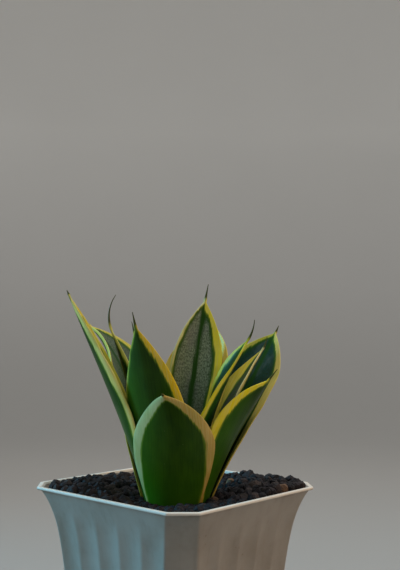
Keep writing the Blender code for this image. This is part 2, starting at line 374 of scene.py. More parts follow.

# %% [markdown]
# Polypropylene is a slightly waxy plastic: it has a broad, soft highlight and no sharp
# reflections. This pot has stood outside. Its wall is painted a darker grey than its lip. Water
# has left faint vertical runs and a film of dust, and a little brown soil clings in specks on the
# wall. Under the lip lies a brown band in patches, partly soil and partly painted shadow of the lip.
# Most of it is so low in contrast that only a close look finds it.
#
# The patterns read Object coordinates, which are metres here. So every noise below is given the
# size of its features in metres.

# %% Pot material: weathered polypropylene, injection moulded
def weathered_polypropylene():
    made, tree, shader = new_material("weathered_polypropylene", 0.42, 1.49)
    place = add(tree, "TexCoord").outputs["Object"]
    film = noise(tree, place, 0.030, 4.0, 0.6)
    runs = noise(tree, stretched(tree, place, 0.004, 0.004, 0.060), 1.0, 3.0)
    specks = noise(tree, place, 0.0022, 2.0, 0.4)
    fine = noise(tree, place, 0.0006)
    height = add(tree, "SeparateXYZ", {"Vector": place}).outputs["Z"]
    on_wall = step(tree, height, POT_HEIGHT - LIP_HEIGHT * 0.5, POT_HEIGHT - LIP_HEIGHT)
    under_lip = step(tree, height, POT_HEIGHT - LIP_HEIGHT * 2.2, POT_HEIGHT - LIP_HEIGHT * 1.1)
    lip_colour, wall_colour, film_colour = linear("#dedcd4"), linear("#989690"), linear("#87837a")
    run_colour, speck_colour, lip_soil_shadow_colour = linear("#757064"), linear("#6c5a42"), linear("#75604c")
    # the wall is painted a darker grey than the lip
    base = blend(tree, on_wall, lip_colour, wall_colour)
    base = blend(tree, times(tree, step(tree, film, 0.35, 0.75), on_wall), base, film_colour)
    run_share = times(tree, step(tree, runs, 0.50, 0.90), times(tree, on_wall, 0.4))
    base = blend(tree, run_share, base, run_colour)
    soiled = times(tree, step(tree, specks, 0.70, 0.76), step(tree, film, 0.5, 0.62))
    base = blend(tree, times(tree, soiled, on_wall), base, speck_colour)
    # a brown band under the lip, in patches: partly soil, partly painted shadow of the lip
    lip_soil_and_shadow = times(tree, step(tree, film, 0.40, 0.65), times(tree, under_lip, on_wall))
    base = blend(tree, times(tree, lip_soil_and_shadow, 0.7), base, lip_soil_shadow_colour)
    tree.links.new(base, shader.inputs["Base Color"])
    tree.links.new(between(tree, runs, 0.36, 0.52), shader.inputs["Roughness"])
    bumps = bump(tree, fine, 0.12, 0.0001)
    tree.links.new(bump(tree, film, 0.25, 0.0006, bumps), shader.inputs["Normal"])
    return made


wear(pot, weathered_polypropylene())
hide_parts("pot")

# %% [markdown]
# ## The grit
#
# The pot is filled with black volcanic grit, sieved to about 5 mm. Each granule is a rounded,
# lumpy stone with pits, and no two are alike. Under the loose top granules lies a packed bed of
# the same grit, which stops anyone from seeing daylight between them. Its tint near the dark end
# of the grit's colours is painted shade in the gaps between the granules.
#
# The ground is not level. It is pushed up towards the left and right corners and hollowed a
# little round the plant.

# %% Lie of the ground
FACING = 42.0  # degrees from -Y towards +X: the way the front leaf leans
PLANT_OUT = 0.010
HOLLOW_REACH = (0.020, 0.050)  # distances from the plant where the hollow is full and has ended
BANK_REACH = (0.020, 0.050)  # distances aside where the bank starts and is full
GRAVEL_DEPTH = 0.0050
GRAVEL_BANK = 0.0035
GRAVEL_HOLLOW = 0.0035
GRAVEL_TILT = 0.012  # rise for each metre to the right
UP = np.array([0.0, 0.0, 1.0])


def heading(azimuth_deg):
    """Level unit vector (sin a, -cos a, 0) at an angle counted anticlockwise from FACING."""
    angle = math.radians(FACING + azimuth_deg)
    return np.array([math.sin(angle), -math.cos(angle), 0.0])


PLANT = heading(0) * PLANT_OUT


def ground(x, y):
    """The lip's height less a depth, plus a bank at the sides, less a hollow round the plant."""
    right = heading(90)
    aside = x * right[0] + y * right[1]
    from_plant = np.hypot(x - PLANT[0], y - PLANT[1])
    bank = GRAVEL_BANK * smoothstep(np.abs(aside), *BANK_REACH)
    hollow = GRAVEL_HOLLOW * (1 - smoothstep(from_plant, *HOLLOW_REACH))
    return POT_HEIGHT - GRAVEL_DEPTH + bank - hollow + GRAVEL_TILT * aside


# %% Packed bed under the granules
BED_DROP = 0.0030  # the bed's top lies this far below the granules' middles
BED_PLAY = 0.0007  # the gap between the bed and the wall
BED_RIM = 0.098  # the height that its top ring takes the wall's plan from
BED_HEIGHTS = (0.090, 0.075, 0.060, 0.040, 0.020, 0.010, FLOOR + 0.0003)


def make_bed():
    """Rings that spread from the plant to the wall over the ground, then go down the wall."""
    rim = plan(body_half(BED_RIM), 0.0, 0.0, WALL + BED_PLAY)
    middle = np.tile((PLANT[0], PLANT[1], 0.0), (len(rim), 1))
    rings = []
    for share in np.linspace(0.02, 1.0, 24):
        ring = middle + (rim - middle) * share
        ring[:, 2] = ground(ring[:, 0], ring[:, 1]) - BED_DROP
        rings.append(ring)
    for z in BED_HEIGHTS:
        rings.append(plan(body_half(z), flute_depth(z), z, WALL + BED_PLAY))
    return mesh_from_rings("packed_bed", np.array(rings[::-1]), 40)


bed = make_bed()
print("ground at the plant, mm:", round(1000 * float(ground(*PLANT[:2])), 1))

# %% [markdown]
# ## The leaves, as shapes
#
# We need the leaves' shapes before the granules, because no granule may lie inside a leaf.
#
# A leaf is a curve, the midrib, that leans further out as it grows. Along it runs a cross-section:
# an arc, like a slice of a gutter, with a thickness that is full in the middle and thins at the
# edges. The blade is narrow where it sheathes the stem, widest around the middle and pointed at
# the end, where it rolls into a round spine.
#
# The numbers are the same as in the solid model, so the fine leaves lie on the plain ones. Here
# each leaf has many more rings and points, and its edges ripple a little.

# %% Leaf table
LEAF_THICK = 0.0018  # at the base, along the midrib
LEAF_BELLY = 0.0026  # where the blade is fleshiest
LEAF_PLAY = 0.0004  # clearance between one ring of leaf bases and the next
RING_STEP = LEAF_THICK + LEAF_PLAY
RING_INNER = 0.0053  # radius of the innermost ring, number 5; number 0 is the outermost
RING_OUTER = RING_INNER + 5 * RING_STEP
BURIED = 0.009  # the leaves start this far under the ground
SPIKE_RADIUS = 0.00055
SPIKE_END = 0.00018
SPIKE_FLARE = 0.0003  # how much stouter the spine is where it leaves the blade
GROUND = POT_HEIGHT - GRAVEL_DEPTH - GRAVEL_HOLLOW

LEAVES = {
    "front": dict(ring=0, azimuth=-5, length=0.079, half_width=0.0232, leans=(10, 18, 60), fold=32,
                  taper=1.55, side=-13, spike=0.002),
    "right_rear": dict(ring=0, azimuth=123, length=0.116, half_width=0.0228, leans=(19, 29, 27),
                       wrap=44, widest=0.70, side=-10, roll=-30, spike=0.005),
    "left_rear": dict(ring=0, azimuth=-136, length=0.118, half_width=0.0230, leans=(20, 20, 48),
                      wrap=38, widest=0.72, side=50, roll=6, spike_lean=40),
    "left": dict(ring=1, azimuth=-82, length=0.1315, half_width=0.0145, leans=(12, 23, 25), wrap=18,
                 fold=54, widest=0.45, roll=10, spike=0.003),
    "right_front": dict(ring=1, azimuth=79, length=0.086, half_width=0.0205, leans=(16, 26, 38),
                        wrap=28, roll=24, widest=0.60),
    "left_front": dict(ring=2, azimuth=-30, length=0.109, half_width=0.0185, leans=(7, 17, 18),
                       wrap=40, fold=28, widest=0.50, side=-14, roll=-18),
    "right": dict(ring=2, azimuth=112, length=0.103, half_width=0.0185, leans=(9, 26, 33), wrap=44,
                  spike_lean=-25, side=-10),
    "left_hidden": dict(ring=2, azimuth=-146, length=0.108, half_width=0.0140, leans=(10, 20, 24),
                        wrap=38, side=6),
    "left_inner": dict(ring=3, azimuth=-84, length=0.108, half_width=0.0140, leans=(8, 16, 21),
                       wrap=28, spike=0.020, spike_lean=-55),
    "right_inner": dict(ring=3, azimuth=60, length=0.105, half_width=0.0145, leans=(5, 19, 33),
                        wrap=24, widest=0.60, roll=-34, side=16, spike=0.012, spike_lean=-30),
    "back": dict(ring=4, azimuth=152, length=0.116, half_width=0.0225, leans=(10, 18, 20), wrap=28,
                 widest=0.70, spike=0.002),
    "back_inner": dict(ring=5, azimuth=153, length=0.124, half_width=0.0158, leans=(7, 11, 12),
                       wrap=34, widest=0.70, side=-28, roll=-75, spike=0.010),
}

# %% Leaf surface
ACROSS_POINTS = 56
LEAF_RINGS = 120
SPINE_RINGS = 12
FINE_STEPS = 400
RIPPLE, RIPPLE_REACH = 0.00022, 0.0037  # the height and the pace of the margins' waves
KEEL, KEEL_WIDTH = 0.00035, 0.0022  # a low ridge along the midrib, on the outer face


def sample(at, fine, values):
    """Values along the fine midrib, read off at the stations."""
    if values.ndim == 1:
        return np.interp(at, fine, values)
    return np.stack([np.interp(at, fine, column) for column in values.T], axis=1)


def leaf_surface(ring, azimuth, length, half_width, leans, wrap=52, fold=38, widest=0.55, taper=1.9,
                 side=0, roll=0, spike=0.008, spike_lean=0):
    """Rings of a leaf, and what its material needs to know about each point.

    The midrib's lean from the vertical is a quadratic through its values at the ground, halfway
    and at the tip. The half width grows from the base to the widest place by a power of a sine,
    and falls to the tip by a power of the distance. Each ring is an arc of that half width, bent
    by half an angle between wrap and fold, and thickened to both sides by a rounded profile."""
    radius = RING_OUTER - ring * RING_STEP
    fine = np.linspace(0.0, length + spike, FINE_STEPS)
    grown = np.clip((fine - BURIED) / (length - BURIED), 0.0, 1.0)
    beyond = np.clip((fine - length) / spike, 0.0, 1.0)
    low, middle, high = leans
    lean = low * (1 - grown) * (1 - 2 * grown) + 4 * middle * grown * (1 - grown)
    lean = np.radians(lean + high * grown * (2 * grown - 1) + spike_lean * beyond)
    toward = np.radians(FACING + azimuth + side * grown**2)
    level = np.stack([np.sin(toward), -np.cos(toward), 0 * toward], axis=1)
    along = np.sin(lean)[:, None] * level + np.cos(lean)[:, None] * UP
    across = np.cross(UP, level)
    outward = np.cross(across, along)
    turn = np.radians(roll * grown)[:, None]
    across, outward = (
        across * np.cos(turn) + outward * np.sin(turn),
        outward * np.cos(turn) - across * np.sin(turn),
    )
    root = PLANT + UP * (GROUND - BURIED) + heading(azimuth) * radius
    steps = np.diff(fine)[:, None] * (along[1:] + along[:-1]) / 2
    path = root + np.concatenate([np.zeros((1, 3)), np.cumsum(steps, axis=0)])

    share = np.clip(fine / length, 0.0, 1.0)
    base_half = radius * math.radians(wrap)
    rising = np.sin(np.clip(share / widest, 0, 1) * math.pi / 2) ** 1.6
    falling = 1 - np.clip((share - widest) / (1 - widest), 0, 1) ** taper
    half = np.where(share < widest, base_half + (half_width - base_half) * rising, half_width * falling)
    needle = SPIKE_RADIUS + (SPIKE_END - SPIKE_RADIUS) * beyond + SPIKE_FLARE * (1 - beyond) ** 2
    half = np.maximum(half, needle)
    bend = np.radians(wrap + (fold - wrap) * smoothstep(share, 0.0, 0.55))
    fleshy = LEAF_THICK + (LEAF_BELLY - LEAF_THICK) * smoothstep(share, 0.1, 0.4)
    thick = fleshy * (1 - 0.55 * smoothstep(share, 0.55, 1.0))
    thick = np.where(fine > length, 2 * needle, np.minimum(thick, np.maximum(0.9 * half, 2 * needle)))

    blade = np.linspace(0.0, 1.0, LEAF_RINGS) ** 0.9 * length
    spine = length + spike * np.linspace(0.0, 1.0, SPINE_RINGS + 1)[1:]
    at = np.concatenate([blade, spine])
    around = np.linspace(0.0, -2 * math.pi, ACROSS_POINTS, endpoint=False)
    over = np.cos(around)
    through = np.sign(np.sin(around)) * np.abs(np.sin(around)) ** 0.75
    w = sample(at, fine, half)[:, None]
    a = sample(at, fine, bend)[:, None]
    t = sample(at, fine, thick)[:, None]
    b = sample(at, fine, across)[:, None, :]
    n = sample(at, fine, outward)[:, None, :]
    angle = over[None, :] * a
    centre = sample(at, fine, path)[:, None, :]
    bow = w / a  # the arc's own radius
    centre = centre + (bow * np.sin(angle))[..., None] * b - (bow * (1 - np.cos(angle)))[..., None] * n
    normal = np.cos(angle)[..., None] * n + np.sin(angle)[..., None] * b
    blade_share = np.clip(at / length, 0.0, 1.0)[:, None]
    full = smoothstep(blade_share, 0.25, 0.5) * (1 - smoothstep(blade_share, 0.8, 0.97))
    ripple = RIPPLE * np.sin(at[:, None] / RIPPLE_REACH + azimuth + 1.6 * over) * over**4 * full
    keel = KEEL * np.exp(-((over[None, :] * w / KEEL_WIDTH) ** 2)) * full * (through[None, :] > 0)
    rings = centre + normal * (through[None, :] * t / 2 + ripple + keel)[..., None]
    facts = {
        "across": over[None, :] * w,
        "along": np.broadcast_to(at[:, None], angle.shape),
        "half": np.broadcast_to(w, angle.shape),
        "share": np.broadcast_to(blade_share, angle.shape),
        "outer": np.broadcast_to(through[None, :], angle.shape),
        "spine": np.broadcast_to(sample(at, fine, beyond)[:, None], angle.shape),
    }
    return rings, facts


SURFACES = {name: leaf_surface(**numbers) for name, numbers in LEAVES.items()}
tallest = max(float(rings[..., 2].max()) for rings, _ in SURFACES.values())
print("leaves:", len(SURFACES), " tallest tip, mm:", round(tallest * 1000, 1))

# %% [markdown]
# ## The granules
#
# Hundreds of stones want very few faces each. A cube whose faces are split three by three and
# pushed out to a ball has 54, all about the same size, with no pinched poles. Each stone's radius
# is then waved in two random directions, which makes lumps, and cut off by three random planes,
# which makes the flats of crushed rock. It is stretched and turned at random. All the stones are
# worked out in one array.

# %% One ball of 54 faces
def cube_ball(cuts=3):
    """Corners of a cube's grid, moved by tan(x*pi/4) so that the squares come out even, and
    scaled to length 1. Returns the points and the quads."""
    t = np.tan(np.linspace(-1, 1, cuts + 1) * math.pi / 4)
    u, v = np.meshgrid(t, t, indexing="ij")
    one = np.ones_like(u)
    faces = [(one, u, v), (-one, v, u), (v, one, u), (u, -one, v), (u, v, one), (v, u, -one)]
    points = np.concatenate([np.stack(f, axis=-1).reshape(-1, 3) for f in faces])
    points /= np.linalg.norm(points, axis=1)[:, None]
    grid = np.arange((cuts + 1) ** 2).reshape(cuts + 1, cuts + 1)
    squares = [grid[:-1, :-1], grid[1:, :-1], grid[1:, 1:], grid[:-1, 1:]]
    quads = np.stack(squares, axis=-1).reshape(-1, 4)
    quads = np.concatenate([quads + side * (cuts + 1) ** 2 for side in range(6)])
    unique, back = np.unique(points.round(6), axis=0, return_inverse=True)
    return unique, back.reshape(-1)[quads]


BALL, BALL_QUADS = cube_ball()
print("one granule:", len(BALL), "points,", len(BALL_QUADS), "faces")

# %% [markdown]
# To place them, we start from a triangular grid at the granules' spacing and push each point about
# at random. Then for some rounds every pair that is too close is pushed apart, and every granule
# inside a leaf or in the wall is pushed out, as shaking the pot would do. There are two layers.

# %% Where the granules lie
GRAIN = 0.0057  # middle size
LAYERS = ((0.0006, 0.92), (-0.0022, 1.0))  # each layer's height over the ground, and its spacing
SCATTER = 0.28  # the random push of each point, as a share of the spacing
UNEVEN = 0.0008  # granules lie up to this far above or below their layer
rng = np.random.default_rng(11)


def keep_inside(points, room, lift):
    """Moves points that pass the flat sides or the corner cuts at their own height back by what
    they pass them."""
    z = ground(points[:, 0], points[:, 1]) + lift - room / 2
    half = (body_half(z) - WALL - room)[:, None]
    points = np.clip(points, -half, half)
    corner = 2 * body_half(z) - CORNER_CUT - math.sqrt(2) * (WALL + room)
    too_far = np.maximum(np.abs(points).sum(axis=1) - corner, 0.0)
    return points - np.sign(points) * too_far[:, None] / 2


def scatter(spacing):
    """Rows of points, every other one shifted by half a step, with a random push. Points outside
    the wall are left out."""
    count = int(POT_WIDTH / spacing) + 2
    i, j = np.meshgrid(np.arange(-count, count), np.arange(-count, count), indexing="ij")
    x = (i + 0.5 * (j % 2)) * spacing
    y = j * spacing * math.sqrt(3) / 2
    points = np.stack([x.ravel(), y.ravel()], axis=1)
    points += rng.uniform(-SCATTER, SCATTER, points.shape) * spacing
    points = points[np.abs(points).max(axis=1) < POT_WIDTH / 2]
    return points[np.linalg.norm(keep_inside(points, GRAIN / 2, 0.0) - points, axis=1) < spacing / 3]


def leaf_feet():
    """Leaf surface points near the ground, thinned."""
    near = []
    for rings, _ in SURFACES.values():
        flat = rings[::3, ::2].reshape(-1, 3)
        near.append(flat[(flat[:, 2] > GROUND - 0.006) & (flat[:, 2] < POT_HEIGHT + 0.012)])
    return np.concatenate(near)


def settle(points, radius, lift, feet, rounds=30):
    """Pairs nearer than 0.97 of the sum of their radii move apart along the line between them, by
    0.3 of what is short in each round. A granule also moves out of the leaf that it is deepest in."""
    for _ in range(rounds):
        gap = points[:, None, :] - points[None, :, :]
        apart = np.linalg.norm(gap, axis=2) + 1e-9
        short = np.clip((radius[:, None] + radius[None, :]) * 0.97 - apart, 0.0, None)
        np.fill_diagonal(short, 0.0)
        points = points + (gap / apart[..., None] * short[..., None]).sum(axis=1) * 0.3
        z = ground(points[:, 0], points[:, 1]) + lift
        level_gap = points[:, None, :] - feet[None, :, :2]
        span = np.linalg.norm(level_gap, axis=2) + 1e-9
        high = np.abs(feet[None, :, 2] - z[:, None])
        reach = np.sqrt(np.clip((radius[:, None] * 0.95) ** 2 - high**2, 0.0, None))
        deep = np.clip(reach - span, 0.0, None)
        worst = deep.argmax(axis=1)
        rows = np.arange(len(points))
        push = level_gap[rows, worst] / span[rows, worst][:, None] * deep[rows, worst][:, None]
        points = keep_inside(points + push, radius, lift)
    return points


FEET = leaf_feet()
places, sizes = [], []
for lift, spacing in LAYERS:
    spots = scatter(GRAIN * spacing)
    spread = np.clip(rng.normal(1.0, 0.13, len(spots)), 0.70, 1.32)
    radius = GRAIN / 2 * spread
    spots = settle(spots, radius, lift, FEET)
    z = ground(spots[:, 0], spots[:, 1]) + lift + rng.uniform(-UNEVEN, UNEVEN, len(spots))
    places.append(np.column_stack([spots, z]))
    sizes.append(radius)
places, sizes = np.concatenate(places), np.concatenate(sizes)
print("granules:", len(places), " middle size, mm:", round(2000 * float(np.median(sizes)), 2))


# %% All granules as one mesh
GRAIN_WAVES = ((0.14, 2.6), (0.11, 5.4))  # each wave's height and how fast it runs
GRAIN_CUTS = 3
GRAIN_SHARP = 28  # edges that bend by more degrees than this stay sharp


def random_turns(count):
    """Rotation matrices from random unit quaternions."""
    q = rng.normal(size=(count, 4))
    w, x, y, z = (q / np.linalg.norm(q, axis=1)[:, None]).T
    rows = [
        [1 - 2 * (y * y + z * z), 2 * (x * y - z * w), 2 * (x * z + y * w)],
        [2 * (x * y + z * w), 1 - 2 * (x * x + z * z), 2 * (y * z - x * w)],
        [2 * (x * z - y * w), 2 * (y * z + x * w), 1 - 2 * (x * x + y * y)],
    ]
    return np.moveaxis(np.array(rows), -1, 0)


def make_granules():
    """Each ball's radius is 1 plus two waves a sin(k.p + c) with their own random k and c, cut off
    by three random planes at 0.7 to 0.9 of the radius, as crushed rock is; then the ball is
    stretched, turned, scaled to its size and moved to its place."""
    count = len(places)
    wave = np.ones((count, len(BALL)))
    for strength, pace in GRAIN_WAVES:
        k = rng.normal(size=(count, 3)) * pace
        start = rng.uniform(0, 2 * math.pi, (count, 1))
        wave += strength * np.sin(k @ BALL.T + start)
    stretch = rng.uniform(0.82, 1.18, (count, 1, 3))
    for _ in range(GRAIN_CUTS):
        facing = rng.normal(size=(count, 3))
        facing /= np.linalg.norm(facing, axis=1)[:, None]
        reach = (facing @ BALL.T) * wave
        wave *= np.minimum(1.0, rng.uniform(0.70, 0.90, (count, 1)) / np.maximum(reach, 1e-3))
    shapes = BALL[None] * wave[..., None] * stretch * 1.05
    shapes = np.einsum("nij,npj->npi", random_turns(count), shapes)
    points = shapes * sizes[:, None, None] + places[:, None, :]
    quads = BALL_QUADS[None] + (np.arange(count) * len(BALL))[:, None, None]
    mesh = bpy.data.meshes.new("granules")
    mesh.from_pydata(points.reshape(-1, 3), [], quads.reshape(-1, 4).tolist())
    mesh.set_sharp_from_angle(angle=math.radians(GRAIN_SHARP))
    piece = link("granules", mesh)
    tint = np.repeat(rng.uniform(0, 1, count), len(BALL))
    give_attribute(piece, "tint", "FLOAT", tint)
    return piece


granules = make_granules()

# %% [markdown]
# Volcanic grit is frozen foam: black glassy rock full of tiny bubbles. It is matt, but the broken
# bubble walls catch a little light. Dry dust gives some granules a grey or brownish cast, and a
# rare one is tan. The pits are under a millimetre wide, drawn with a cell pattern as a bump and as
# painted shade that darkens them.

# %% Grit material: porous volcanic rock, crushed and tumbled
def volcanic_grit():
    made, tree, shader = new_material("volcanic_grit", 0.8, 1.50, Specular_IOR_Level=0.3)
    place = add(tree, "TexCoord").outputs["Object"]
    tint = add(tree, "Attribute", attribute_name="tint").outputs["Fac"]
    stone = ramp(
        tree, tint, (0.0, linear("#0c0c12")), (0.45, linear("#15141b")), (0.85, linear("#231d20")),
        (0.985, linear("#38302e")), (0.996, linear("#7a5c42")), (1.0, linear("#857a70")),
    )
    dust = noise(tree, place, 0.0016, 4.0, 0.7)
    base = blend(tree, step(tree, dust, 0.50, 0.80), stone, linear("#38343c"))
    pits = add(tree, "TexVoronoi", {"Vector": place, "Scale": 1 / 0.0008}).outputs["Distance"]
    # painted shade: the pits are darkened inside
    base = blend(tree, step(tree, pits, 0.35, 0.10), base, linear("#0d0d12"))
    tree.links.new(base, shader.inputs["Base Color"])
    hollow = bump(tree, pits, 0.6, 0.0003)
    tree.links.new(bump(tree, dust, 0.7, 0.0005, hollow), shader.inputs["Normal"])
    return made


GRIT = volcanic_grit()
# the bed's tint near the dark end of the ramp is painted shade in the gaps between the granules
BED_SHADE_TINT = 0.1  # near the dark end of the ramp
give_attribute(bed, "tint", "FLOAT", np.full(len(bed.data.vertices), BED_SHADE_TINT))
wear(bed, GRIT)
wear(granules, GRIT)
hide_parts("gravel")

# %% [markdown]
# ## The leaves, as pieces
#
# The pattern of a variegated snake plant has a few parts. The heart is dark green. On the inner
# face it is clouded with grey-green crossbands, and a dark stripe follows the midrib. Both margins
# are yellow, and their inner border is not a clean line: it runs in long thin streaks, since the
# cells grow in files along the leaf. The spine is dark brown.
#
# So each vertex carries how far it is inside the heart, in millimetres, its place on the leaf, and
# its colours. The material only has to turn the distance into a soft streaky border.
#
# Every leaf has margins of its own width, and its own yellow: the young ones are lemon, the old
# ones go tan. Two leaves also carry painted light and shade in their colours: the front leaf's pale
# first margin is painted light, and the dark heart of left_inner is painted shade. These are the
# values in the next table: the margin widths in mm, first on the side that is counted as negative
# across the leaf and then on the other, the two margins' colours in the same order, the heart's
# colour outside, and the colour of the clouds inside.

# %% Leaf looks
LOOKS = {
    # the front leaf's first margin is a yellow margin painted pale grey-green: painted light on its lit
    # left side
    "front": (6.2, 5.4, "#b3bd84", "#c2a758", "#365a0c", "#5a6a4a"),
    "right_rear": (6.5, 3.6, "#dcc860", "#d8cc3c", "#1c5020", "#123e36"),
    "left_rear": (3.0, 4.0, "#c9c040", "#dcc84e", "#2c5a0c", "#5c6e50"),
    "left": (2.8, 3.4, "#d6c63c", "#e2d878", "#2e5410", "#4a5a38"),
    "right_front": (4.2, 1.6, "#e6da20", "#c6c064", "#375c0c", "#3f5c3a"),
    "left_front": (1.4, 3.8, "#98a434", "#e2c424", "#30580c", "#4f6646"),
    "right": (2.4, 13.0, "#dad49a", "#d6c83c", "#223c1c", "#39443c"),
    "left_hidden": (2.6, 3.0, "#c9c040", "#ccc24a", "#2c640c", "#5f6f58"),
    # left_inner's dark heart colours, outside and inside, are painted shade: the leaf stands in shadow
    # between its neighbours
    "left_inner": (2.4, 1.8, "#b5b046", "#ccc864", "#1c380c", "#20301c"),
    "right_inner": (2.8, 3.0, "#e2dc2a", "#dcd832", "#0f4020", "#1a4a38"),
    "back": (9.5, 9.5, "#e8cc54", "#e8cc54", "#3d5c28", "#7c7a48"),
    "back_inner": (4.4, 1.4, "#eee640", "#d8dc98", "#30580c", "#849a84"),
}


WIDEST_MARGIN = 0.62  # of half the leaf's width, for all leaves but the front one


def margin_width(share, widest_mm):
    """Two fifths of its full width at the base, full from halfway up, and narrower at the tip."""
    rising = 0.40 + 0.60 * smoothstep(share, 0.15, 0.62)
    return widest_mm / 1000 * rising * (1 - 0.40 * smoothstep(share, 0.75, 0.97))


def make_leaf(name):
    *widths, first_colour, last_colour, outside, inside = LOOKS[name]
    rings, facts = SURFACES[name]
    piece = mesh_from_rings("leaf_" + name + "_blade", rings)
    half, across = facts["half"], facts["across"]
    first, last = (margin_width(facts["share"], width) for width in widths)
    if name != "front":
        first, last = np.minimum(first, WIDEST_MARGIN * half), np.minimum(last, WIDEST_MARGIN * half)
    heart = np.minimum(half + across - first, half - across - last)
    seed = 1000.0 * (1 + list(LOOKS).index(name))
    spot = np.stack([across * 1000, facts["along"] * 1000, np.full(heart.shape, seed)], axis=-1)
    side = smoothstep(across / half, -0.3, 0.3)[..., None]
    margin = (1 - side) * np.array(linear(first_colour)) + side * np.array(linear(last_colour))
    inner = smoothstep(-facts["outer"], -0.1, 0.3)[..., None]
    flesh = (1 - inner) * np.array(linear(outside)) + inner * np.array(linear(inside))
    give_attribute(piece, "heart_mm", "FLOAT", heart * 1000)
    give_attribute(piece, "spot_mm", "FLOAT_VECTOR", spot)
    give_attribute(piece, "margin", "FLOAT_COLOR", margin)
    give_attribute(piece, "flesh", "FLOAT_COLOR", flesh)
    give_attribute(piece, "inner", "FLOAT", inner[..., 0])
    give_attribute(piece, "spine", "FLOAT", facts["spine"])
    give_attribute(piece, "share", "FLOAT", facts["share"])
    return piece


# %% [markdown]
# The cuticle is a wax layer: the leaf shines a little at a low angle and is soft in front. Its IOR
# is near 1.45. The bump has two parts, long fine veins along the leaf and a very fine grain.

# %% Leaf material: living snake plant leaf with a waxy cuticle
def waxy_leaf():
    made, tree, shader = new_material("waxy_variegated_leaf", 0.38, 1.45, Specular_IOR_Level=0.16)

    def read(name, output="Fac"):
        return add(tree, "Attribute", attribute_name=name).outputs[output]

    def mottle(across_mm, along_mm, detail=3.0):
        """Noise whose features are so many mm across and along the leaf."""
        return noise(tree, stretched(tree, spot, across_mm, along_mm, 1.0), 1.0, detail)

    def tinted(colour, share, over):
        """The first colour with a share of another laid over it."""
        return blend(tree, share, colour, linear(over))

    def part(value, low, high, most):
        """A step from low to high that goes no further than most."""
        return times(tree, step(tree, value, low, high), most)

    heart, inner, spine, share = read("heart_mm"), read("inner"), read("spine"), read("share")
    spot, margin, flesh = read("spot_mm", "Vector"), read("margin", "Color"), read("flesh", "Color")
    files = mottle(0.7, 14.0)
    sway = mottle(3.0, 22.0)
    clouds = mottle(0.7, 1.2, 8.0)
    bands = mottle(6.0, 1.1)
    broad = mottle(9.0, 16.0)
    sway_mm = between(tree, sway, -1.5, 1.5)
    files_mm = between(tree, files, -1.0, 1.0)
    border = maths(tree, "ADD", maths(tree, "ADD", heart, sway_mm), files_mm)

    # the margin: yellow, paler in files, greener in broad patches and browner near the ground
    yellow = blend(tree, 0.30, margin, tinted(margin, step(tree, files, 0.42, 0.62), "#dcd9a0"))
    yellow = tinted(yellow, part(broad, 0.45, 0.70, 0.30), "#8f9a2e")
    yellow = tinted(yellow, part(share, 0.40, 0.10, 0.65), "#a8943a")

    # the heart's inner face: clouds over dark green, broad grey patches of painted sheen, painted
    # shade that darkens it near the ground deep in the rosette, a green stripe on the midrib and a
    # clear green zone along the border
    across = add(tree, "SeparateXYZ", {"Vector": spot}).outputs["X"]
    clouded = blend(tree, step(tree, clouds, 0.34, 0.64), linear("#16300f"), flesh)
    clouded = blend(tree, 0.30, clouded, flesh)
    clouded = tinted(clouded, part(bands, 0.45, 0.65, 0.35), "#1e3a14")
    # painted sheen: broad grey patches stand for the sky's reflection in the wax of the inner face
    clouded = tinted(clouded, part(broad, 0.45, 0.70, 0.4), "#6c7274")
    # painted shade: the inner face darkens towards the ground, deep in the rosette
    clouded = tinted(clouded, part(share, 0.70, 0.30, 0.8), "#161c0c")
    off_middle = maths(tree, "ADD", maths(tree, "ABSOLUTE", across), sway_mm)
    off_middle = maths(tree, "ADD", off_middle, files_mm)
    inside = tinted(clouded, step(tree, off_middle, 2.7, 0.6), "#1a4408")
    inside = tinted(inside, step(tree, border, 3.4, 0.8), "#24500f")

    # its outer face: dark green in files and patches, darker at the tip, lighter near the ground
    # and on one side, with a few pale dots
    deep = tinted(flesh, part(files, 0.45, 0.65, 0.35), "#173207")
    deep = tinted(deep, part(broad, 0.35, 0.70, 0.45), "#16340c")
    deep = tinted(deep, part(share, 0.50, 0.95, 0.50), "#1d2c10")
    deep = tinted(deep, part(across, 3.0, -14.0, 0.35), "#347408")
    deep = tinted(deep, part(mottle(0.9, 0.9, 1.0), 0.80, 0.83, 0.8), "#c8c8a0")
    deep = tinted(deep, part(share, 0.50, 0.15, 0.40), "#346c08")

    # both faces: a light fringe along the border, then the margin, then the brown spine
    green = blend(tree, inner, deep, inside)
    green = blend(tree, step(tree, border, 1.3, 0.1), green, tinted(green, 0.6, "#7c9a2c"))
    base = blend(tree, step(tree, border, -0.45, 0.35), yellow, green)
    base = tinted(base, step(tree, spine, 0.0, 0.25), "#4a4f26")
    tree.links.new(base, shader.inputs["Base Color"])
    tree.links.new(between(tree, broad, 0.30, 0.46), shader.inputs["Roughness"])
    veins = bump(tree, files, 0.35, 0.0003)
    grain = bump(tree, mottle(0.35, 0.5, 2.0), 0.15, 0.0001, veins)
    tree.links.new(grain, shader.inputs["Normal"])
    return made


LEAF = waxy_leaf()
for name in LEAVES:
    blade = make_leaf(name)
    wear(blade, LEAF)
    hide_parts("leaf_" + name)

# %% [markdown]
# ## The hidden stem
#
# The short stem that carries the leaves is under the grit. Its solid stays as it is, and gets the
# look of a pale fibrous rhizome in case someone takes the grit away.

